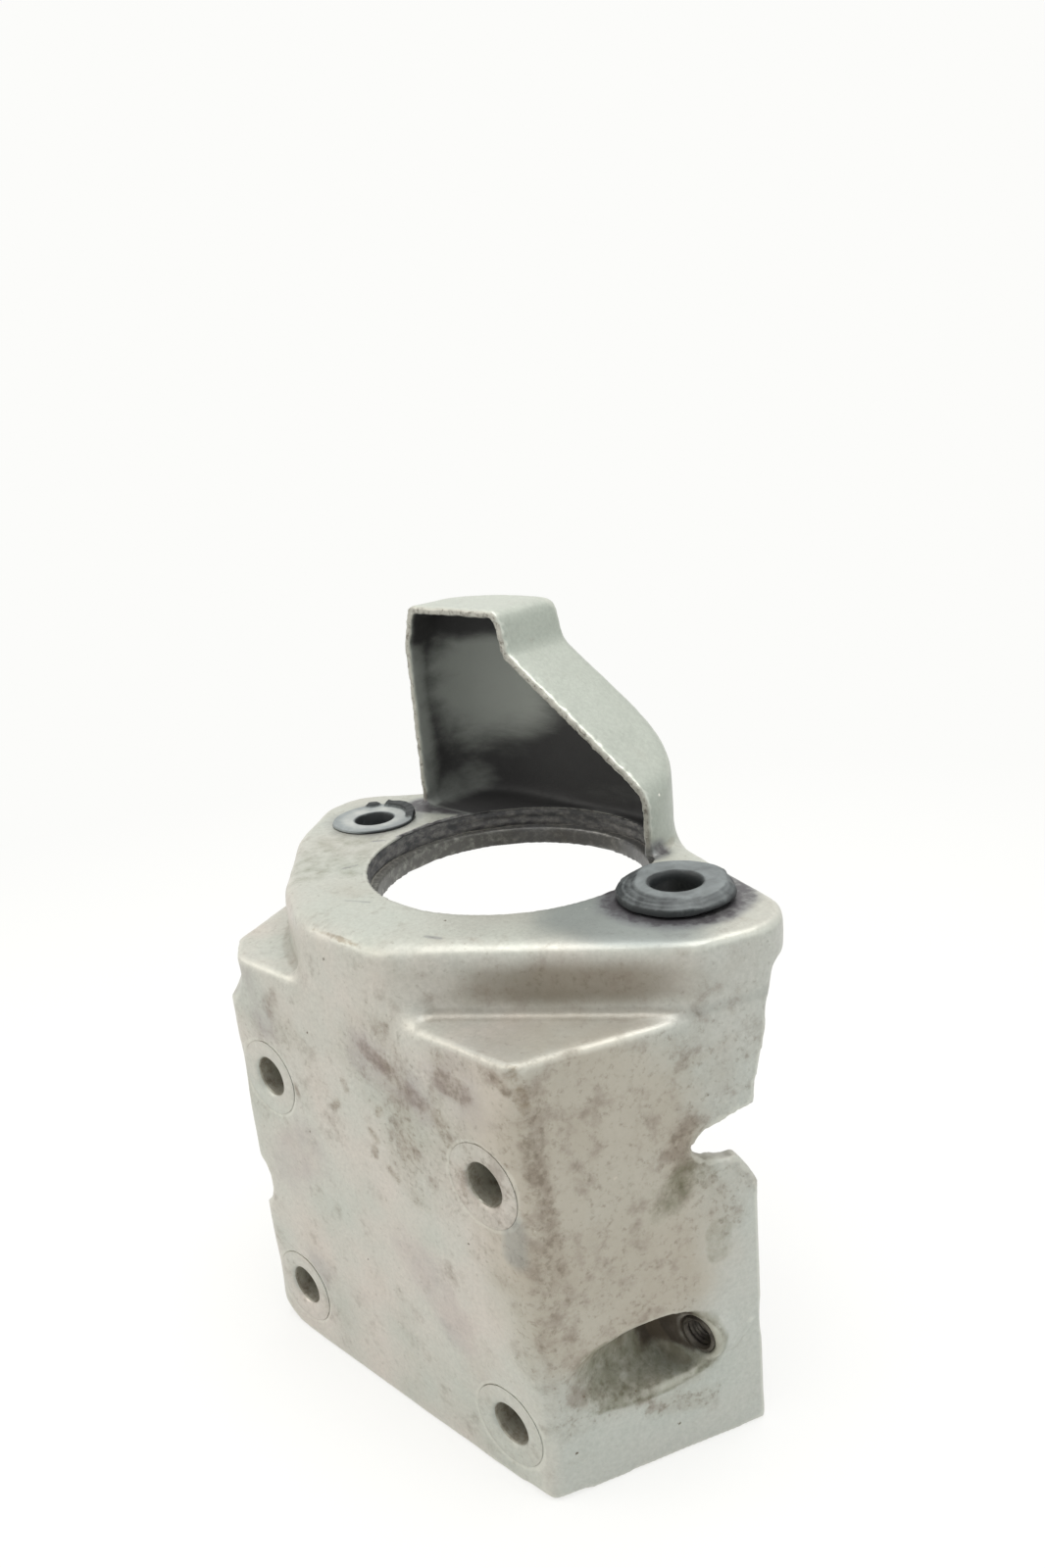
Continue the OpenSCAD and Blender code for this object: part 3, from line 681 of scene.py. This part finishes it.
# A ring turned round an axis through a place. Its outline, at each angle, is a
# closed list of radius and height above the place.
def turned(name, outline, place, axis):
    lift = Vector(axis)
    side = lift.orthogonal().normalized()
    other = lift.cross(side)
    points = []
    for turn in range(TURNS):
        angle = 2 * pi * turn / TURNS
        ring = outline(angle)
        outward = side * cos(angle) + other * sin(angle)
        points += [Vector(place) + outward * radius + lift * rise for radius, rise in ring]
    size = len(ring)
    quads = [[turn * size + step, (turn + 1) % TURNS * size + step,
              (turn + 1) % TURNS * size + (step + 1) % size, turn * size + (step + 1) % size]
             for turn in range(TURNS) for step in range(size)]
    mesh = bpy.data.meshes.new(name)
    mesh.from_pydata(points, [], quads)
    solid = bmesh.new()
    solid.from_mesh(mesh)
    bmesh.ops.recalc_face_normals(solid, faces=solid.faces)
    solid.to_mesh(mesh)
    mesh.polygons.foreach_set("use_smooth", [True] * len(mesh.polygons))
    mesh.set_sharp_from_angle(angle=radians(38))
    piece = bpy.data.objects.new(name, mesh)
    bpy.context.scene.collection.objects.link(piece)
    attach(piece, "root")
    return piece


bush_steel = bpy.data.materials.new("stained_turned_steel")
bush_steel.use_nodes = True
tree = bush_steel.node_tree
shader = tree.nodes["Principled BSDF"]
where = add(tree, "ShaderNodeTexCoord").outputs["Object"]
# Tool marks run round the bore, half a millimetre apart, which is coarse enough to show
marks = add(tree, "ShaderNodeTexWave", {"Vector": where, "Scale": 1 / (1.6 * MM), "Distortion": 0.6},
            wave_type="BANDS", bands_direction="Y")
rust = add(tree, "ShaderNodeTexNoise", {"Vector": where, "Scale": 1 / (2.4 * MM), "Detail": 5,
                                        "Roughness": 0.65})
rusted = add(tree, "ShaderNodeMapRange", {"Value": rust.outputs["Fac"], "From Min": 0.35, "From Max": 0.75},
             interpolation_type="SMOOTHSTEP")
skin_tone = add(tree, "ShaderNodeMix", {0: rusted.outputs[0], 6: colour("A8A69A"), 7: colour("6E6557")},
                data_type="RGBA")
tree.links.new(skin_tone.outputs[2], shader.inputs["Base Color"])
shader.inputs["Metallic"].default_value = 0.4
matt = add(tree, "ShaderNodeMapRange", {"Value": rust.outputs["Fac"], "From Min": 0.35, "From Max": 0.65,
                                        "To Min": 0.32, "To Max": 0.6})
tree.links.new(matt.outputs[0], shader.inputs["Roughness"])
lathe = add(tree, "ShaderNodeBump", {"Height": marks.outputs["Fac"], "Strength": 0.3, "Distance": 0.05 * MM})
tree.links.new(lathe.outputs[0], shader.inputs["Normal"])

mounts = {mount["name"]: mount["dims"] for mount in frame["record"]["mounts"]}
bush_bore = mounts["bolting_face"]["hole_r_mm"] * MM
# How stained the enamel is on each flange
FLANGE_STAIN = {"bush_upper_left": 0.05, "bush_upper_right": 0.42,
                "bush_lower_left": 0.24, "bush_lower_right": 0.24}
for name, stained in FLANGE_STAIN.items():
    low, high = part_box(name)
    flange, length = (high.x - low.x) / 2, high.y - low.y
    sleeve = bush_bore + SLEEVE_WALL
    outline = [(bush_bore, 0), (bush_bore, length - 1.1 * MM), (bush_bore + 0.15 * MM, length - 0.6 * MM),
               (bush_bore + 0.5 * MM, length - 0.2 * MM), (bush_bore + 1.2 * MM, length),
               (flange + 0.15 * MM, length), (flange + 0.25 * MM, length - 0.05 * MM),
               (flange, length - FLANGE_THICK), (sleeve, length - FLANGE_THICK), (sleeve, 0)]
    place = ((low.x + high.x) / 2, high.y, (low.z + high.z) / 2)
    bush = turned(name + "_turned", lambda angle: outline, place, (0, -1, 0))
    bush.data.materials.append(bush_steel)
    bush.data.materials.append(enamel)
    painted = [int(face.center.y < low.y + 0.7 * MM) for face in bush.data.polygons]
    bush.data.polygons.foreach_set("material_index", painted)
    bush.data.attributes.new("stain", "FLOAT", "POINT").data.foreach_set(
        "value", [stained] * len(bush.data.vertices))
    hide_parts(name)

# ---- Side inserts -----------------------------------------------------------
# Threaded steel bushes for M5 screws, moulded into the bosses at the sides, their
# steel painted dark brown as shade in the bore. The thread is drawn as rings one pitch apart.

PITCH = 0.8 * MM
THREAD_CREST, THREAD_ROOT = 0.02 * MM, 0.42 * MM

insert_steel = bush_steel.copy()
insert_steel.name = "shaded_threaded_steel"
tree = insert_steel.node_tree
# Dark browns in place of the bush steel's: painted shade inside the bore
for node in tree.nodes:
    if node.bl_idname == "ShaderNodeMix":
        node.inputs[6].default_value, node.inputs[7].default_value = colour("5C574E"), colour("38322B")

for name in ("side_insert_right", "side_insert_left"):
    low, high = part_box(name)
    outer, length = (high.x - low.x) / 2, high.y - low.y
    bore = mounts[name.replace("insert", "screw")]["r_mm"] * MM
    threads = [(bore + (THREAD_CREST if step % 2 else THREAD_ROOT), 0.3 * MM + step * PITCH / 2)
               for step in range(int((length - 1.2 * MM) / (PITCH / 2)))]
    outline = [(bore + 0.3 * MM, 0)] + threads + [
        (bore + 0.1 * MM, length - 0.7 * MM), (bore + 0.55 * MM, length), (outer - 0.3 * MM, length),
        (outer, length - 0.3 * MM), (outer, 0)]
    place = ((low.x + high.x) / 2, high.y, (low.z + high.z) / 2)
    insert = turned(name + "_threaded", lambda angle: outline, place, (0, -1, 0))
    insert.data.materials.append(insert_steel)
    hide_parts(name)

# ---- Opening seal -----------------------------------------------------------
# Moulded rubber ring in the groove of the opening, hardened and grey with dust,
# with two shallow ribs round its inner face.

seal_rubber = bpy.data.materials.new("dusty_seal_rubber")
seal_rubber.use_nodes = True
tree = seal_rubber.node_tree
shader = tree.nodes["Principled BSDF"]
where = add(tree, "ShaderNodeTexCoord").outputs["Object"]
flat = add(tree, "ShaderNodeMapping", {"Vector": where, "Scale": (1, 1, 2)})
dust = add(tree, "ShaderNodeTexNoise", {"Vector": flat.outputs[0], "Scale": 1 / (3.2 * MM), "Detail": 6,
                                        "Roughness": 0.7})
dusty = add(tree, "ShaderNodeMapRange", {"Value": dust.outputs["Fac"], "From Min": 0.36, "From Max": 0.72},
            interpolation_type="SMOOTHSTEP")
tone = add(tree, "ShaderNodeMix", {0: dusty.outputs[0], 6: colour("414243"), 7: colour("7E7C79")},
           data_type="RGBA")
tree.links.new(tone.outputs[2], shader.inputs["Base Color"])
shader.inputs["Roughness"].default_value = 0.62
crust = add(tree, "ShaderNodeBump", {"Height": dust.outputs["Fac"], "Strength": 0.5, "Distance": 0.15 * MM})
tree.links.new(crust.outputs[0], shader.inputs["Normal"])

RIB_DEPTH = 0.35 * MM
tall, outer = seal_high.z - seal_low.z, (seal_high.x - seal_low.x) / 2
inner = outer - 1.1 * MM


# Two ribs, worn unevenly, on a ring that no longer runs quite true
def seal_outline(angle):
    wobble = 0.07 * MM * sin(7 * angle) + 0.05 * MM * sin(17 * angle + 1)
    rib = RIB_DEPTH * (0.6 + 0.4 * sin(5 * angle))
    face = [(inner + rib * (0.5 + 0.5 * cos(4 * pi * step / 12)) + wobble, tall * step / 12)
            for step in range(13)]
    return [(outer, 0)] + face + [(outer, tall)]


seal = turned("seal_ring", seal_outline, (middle.x, middle.y, seal_low.z), (0, 0, 1))
seal.data.materials.append(seal_rubber)
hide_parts("opening_seal")

# ---- Isolators --------------------------------------------------------------
# Moulded rubber grommets that carry the part on its two deck screws. The right one
# is chewed at its edge and worn in rings where a washer turned; the left one has
# sunk in, with a torn lip curling up behind it.

isolator_rubber = bpy.data.materials.new("worn_isolator_rubber")
isolator_rubber.use_nodes = True
tree = isolator_rubber.node_tree
shader = tree.nodes["Principled BSDF"]
where = add(tree, "ShaderNodeTexCoord").outputs["Object"]
worn = add(tree, "ShaderNodeAttribute", attribute_name="worn").outputs["Fac"]
patch = add(tree, "ShaderNodeTexNoise", {"Vector": where, "Scale": 1 / (4 * MM), "Detail": 6,
                                         "Roughness": 0.65, "Distortion": 0.4})
pushed = add(tree, "ShaderNodeMath", {0: patch.outputs["Fac"], 1: 1.1, 2: -0.55}, operation="MULTIPLY_ADD")
total = add(tree, "ShaderNodeMath", {0: worn, 1: pushed.outputs[0]}, operation="ADD")
# Black rubber under a grey bloom, with pale dust where it is worn most
tone = colour("212526")
for start, end, code in ((0.1, 0.95, "878D8D"), (0.95, 1.6, "BFC1BC")):
    bloom = add(tree, "ShaderNodeMapRange", {"Value": total.outputs[0], "From Min": start,
                                             "From Max": end}).outputs[0]
    tone = add(tree, "ShaderNodeMix", {0: bloom, 6: tone, 7: colour(code)}, data_type="RGBA").outputs[2]
tree.links.new(tone, shader.inputs["Base Color"])
matt = add(tree, "ShaderNodeMapRange", {"Value": patch.outputs["Fac"], "From Min": 0.3, "From Max": 0.7,
                                        "To Min": 0.48, "To Max": 0.68})
tree.links.new(matt.outputs[0], shader.inputs["Roughness"])
pores = add(tree, "ShaderNodeTexNoise", {"Vector": where, "Scale": 1 / (0.7 * MM), "Detail": 4})
skin_bump = add(tree, "ShaderNodeBump", {"Height": pores.outputs["Fac"], "Strength": 0.4,
                                         "Distance": 0.1 * MM})
tree.links.new(skin_bump.outputs[0], shader.inputs["Normal"])


# Uneven round the edge, from -1 to 1, with more ups and downs for more waves
def bumpy(angle, waves, seed):
    return noise.noise(Vector((waves * cos(angle), waves * sin(angle), seed)))


# How chewed the edge is at an angle, from 0 to 1
def chewed(angle, seed):
    return 0.5 + 0.5 * noise.noise(Vector((2.2 * cos(angle) + seed, 2.2 * sin(angle), seed)))


# 1 over the stretch of angles from start to end in degrees, fading over the edge
def stretch(angle, start, end, edge):
    half, turn = (end - start) / 2, degrees(angle) - (start + end) / 2
    share = min(max((half + edge - abs((turn + 180) % 360 - 180)) / edge, 0), 1)
    return share * share * (3 - 2 * share)


# Moulded about its screw: outline(angle) is the flange's edge, from the deck over
# to the bore; below it come the sleeve and the lower flange
def isolator(name, bore, outline, wear):
    low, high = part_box(name)
    place = ((low.x + high.x) / 2, (low.y + high.y) / 2, deck_z)
    base = low.z - deck_z
    sleeve, foot = bore + 2.6 * MM, bore + 4.1 * MM
    below = [(bore, base + 0.5 * MM), (bore + 0.4 * MM, base), (foot - 0.5 * MM, base),
             (foot, base + 0.6 * MM), (foot, base + 1.9 * MM), (sleeve, base + 2.4 * MM), (sleeve, 0.1 * MM)]
    piece = turned(name + "_moulded", lambda angle: outline(angle) + below, place, (0, 0, 1))
    spots, ups = surface(piece)
    across, back, rise = (spots - np.array(place)).T
    value = wear(np.hypot(across, back), np.degrees(np.arctan2(back, across)), rise, ups[:, 2])
    piece.data.attributes.new("worn", "FLOAT", "POINT").data.foreach_set("value", value.astype(np.float32))
    piece.data.materials.append(isolator_rubber)
    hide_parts(name)


# Bore and flange radii, and the flange's height over the deck
right_bore, left_bore = [mounts[name]["r_mm"] * MM for name in ("isolator_right_bore", "isolator_left_bore")]
low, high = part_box("isolator_right")
right_edge, right_rise = (high.x - low.x) / 2, high.z - deck_z
low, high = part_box("isolator_left")
left_edge, left_rise = (high.x - low.x) / 2, high.z - deck_z
# The rings that a turning washer wore, and how far the bore's mouth is drawn in
GROOVE, GROOVE_PITCH, NECK = 0.05 * MM, 1.1 * MM, 0.4 * MM


# A thick cone with a flat top, wide open on the left, and torn on the right
def right_outline(angle):
    tear, cut = stretch(angle, -8, 12, 14), stretch(angle, -74, -26, 12)
    opened = stretch(angle, 160, 250, 50)
    ragged = 0.5 * MM * (chewed(angle, 3) - 0.9) + 0.14 * MM * bumpy(angle, 8, 1)
    edge = right_edge + min(0, ragged) - 0.5 * MM * tear
    flat = right_bore + (edge - right_bore) * (0.8 - 0.42 * opened) - 0.7 * MM * cut
    bevel = (0.9 + 0.3 * opened + 0.4 * tear + 0.45 * cut) * MM
    rings = []
    for step in range(15):
        radius = edge - 0.2 * MM - (edge - 0.2 * MM - right_bore - 0.1 * MM) * step / 14
        down = max(0, (radius - flat) / (edge - flat))
        groove = GROOVE * sin(2 * pi * radius / GROOVE_PITCH) * min(1, 3 * down)
        rings.append((radius, right_rise - 0.06 * MM - bevel * down + groove))
    bitten = min(0.3 * MM, 0.6 * MM * bumpy(angle, 6, 4))
    lifted = max(tear, 0.9 * cut)
    under = [(edge - 1.3 * MM, 0.1 * MM), (edge - 0.6 * MM + bitten, (0.4 + 0.35 * lifted) * MM),
             (edge - 0.05 * MM, (0.6 + 0.4 * lifted) * MM), (edge, right_rise - bevel - 0.35 * MM)]
    neck = [(right_bore - 0.15 * MM, right_rise - 0.3 * MM), (right_bore - NECK, right_rise - 0.8 * MM),
            (right_bore - NECK, right_rise - 2.2 * MM), (right_bore, right_rise - 3.2 * MM)]
    return under + rings + neck


# Wear on the right grommet, with painted shade that darkens its front-left slope
def right_wear_and_shade(radius, degrees_round, height, up):
    rings = 0.5 + 0.5 * np.sin(radius / (0.16 * MM))
    top = ramp(up, 0.45, 0.9) * ramp(height, right_rise * 0.3, right_rise * 0.6)
    sloping = ramp(up, 0.995, 0.96)
    shaded = ramp(np.abs((degrees_round - 235 + 180) % 360 - 180), 80, 30)
    return top * (0.56 - sloping * (0.16 + 0.12 * rings + 0.2 * shaded)) + 0.04


isolator("isolator_right", right_bore, right_outline, right_wear_and_shade)


# How high the dish's rim stands over the deck
DISH = 0.62 * MM


# A shallow dish level with the deck, and the torn lip that stands round its back
def left_outline(angle):
    lip = min(stretch(angle, -12, 72, 7) + 0.7 * stretch(angle, 88, 103, 4), 1)
    lip *= 1.1 + 0.3 * bumpy(angle, 5, 2)
    edge = left_edge - 0.3 * MM * chewed(angle, 8)
    inner = edge - (1.1 + lip) * MM
    top = left_rise - DISH
    under = [(edge - 0.4 * MM, 0.05 * MM), (edge, (0.25 + 0.4 * lip) * MM)]
    curl = [(edge - 0.15 * MM, DISH + (top - 0.15 * MM) * lip),
            (edge - 0.5 * MM, DISH + 0.05 * MM + (top - 0.1 * MM) * lip),
            (inner + 0.25 * MM, DISH + 0.7 * top * lip)]
    rings = [(inner - (inner - left_bore - 0.7 * MM) * step / 8, DISH - 0.16 * MM * step / 8)
             for step in range(9)]
    return under + curl + rings + [(left_bore + 0.25 * MM, DISH - 0.3 * MM), (left_bore, DISH - 0.8 * MM)]


def left_wear(radius, degrees_round, height, up):
    flat = ramp(up, 0.6, 0.95) * ramp(height, 0.2 * MM, 0.45 * MM) * ramp(height, 0.95 * MM, 0.75 * MM)
    washed = ramp(np.abs((degrees_round - 240 + 180) % 360 - 180), 75, 45)
    return np.maximum(flat * (1.3 - 0.35 * ramp(radius, left_edge * 0.65, left_edge * 0.9)),
                      0.85 * washed * ramp(radius, left_edge * 0.6, left_edge * 0.8))


isolator("isolator_left", left_bore, left_outline, left_wear)
